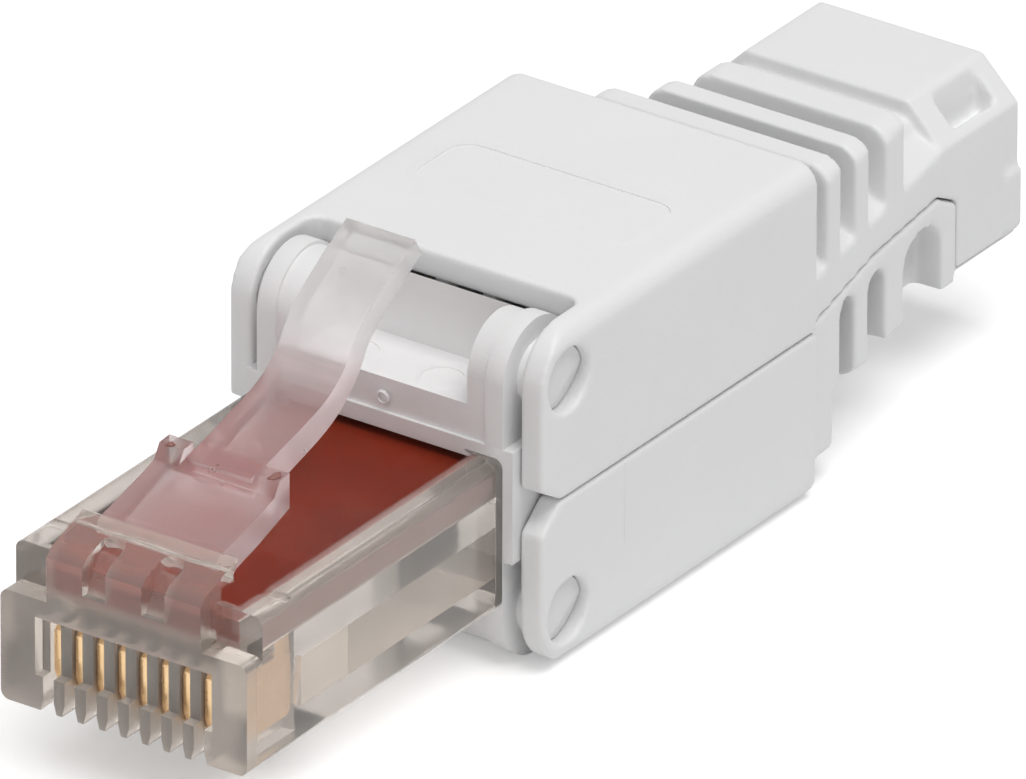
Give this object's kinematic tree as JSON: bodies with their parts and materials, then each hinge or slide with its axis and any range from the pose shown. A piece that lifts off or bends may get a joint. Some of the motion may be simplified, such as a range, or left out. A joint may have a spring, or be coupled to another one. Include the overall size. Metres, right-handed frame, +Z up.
{
  "type": "ethernet plug",
  "caption": "White tool-free eight-contact ethernet plug with a clear nose, a long latch lever, two hinged covers and a ribbed strain relief.",
  "frame": {"origin": "middle of the plug's underside, on the surface that the lower cover rests on", "axes": "+X across the plug to its right side seen from the cable end, -Y towards the contacts, +Z up towards the latch lever"},
  "size_m": [0.0148, 0.0534, 0.0177],
  "materials": {
    "white_plastic": "satin",
    "clear_plastic": "clear moulded",
    "lever_plastic": "frosted clear",
    "board_red": "lacquered",
    "comb_plastic": "moulded",
    "gold_contact": "gold plated",
    "terminal_metal": "plated"
  },
  "bodies": {
    "root": {"plug_nose": "clear_plastic", "circuit_board": "board_red", "contact_comb": "comb_plastic", "contact_1": "gold_contact", "contact_2": "gold_contact", "contact_3": "gold_contact", "contact_4": "gold_contact", "contact_5": "gold_contact", "contact_6": "gold_contact", "contact_7": "gold_contact", "contact_8": "gold_contact", "frame_top": "white_plastic", "frame_bottom": "white_plastic", "idc_terminal_1": "terminal_metal", "idc_terminal_2": "terminal_metal", "idc_terminal_3": "terminal_metal", "idc_terminal_4": "terminal_metal", "idc_terminal_5": "terminal_metal", "idc_terminal_6": "terminal_metal", "idc_terminal_7": "terminal_metal", "idc_terminal_8": "terminal_metal"},
    "latch": {"latch_lever": "lever_plastic"},
    "cover_upper": {"upper_cover": "white_plastic"},
    "cover_lower": {"lower_cover": "white_plastic"}
  },
  "joints": [
    {"name": "latch_press", "type": "hinge", "parent": "root", "child": "latch", "pos_m": [0, -0.0237, 0.00995], "axis": [-1, 0, 0], "range_deg": [0, 10], "stiffness_Nm_per_rad": 0.02},
    {"name": "upper_cover_hinge", "type": "hinge", "parent": "root", "child": "cover_upper", "pos_m": [0, -0.0072, 0.01235], "axis": [1, 0, 0], "range_deg": [0, 70]},
    {"name": "lower_cover_hinge", "type": "hinge", "parent": "root", "child": "cover_lower", "pos_m": [0, -0.0072, 0.00225], "axis": [-1, 0, 0], "range_deg": [0, 70]}
  ]
}
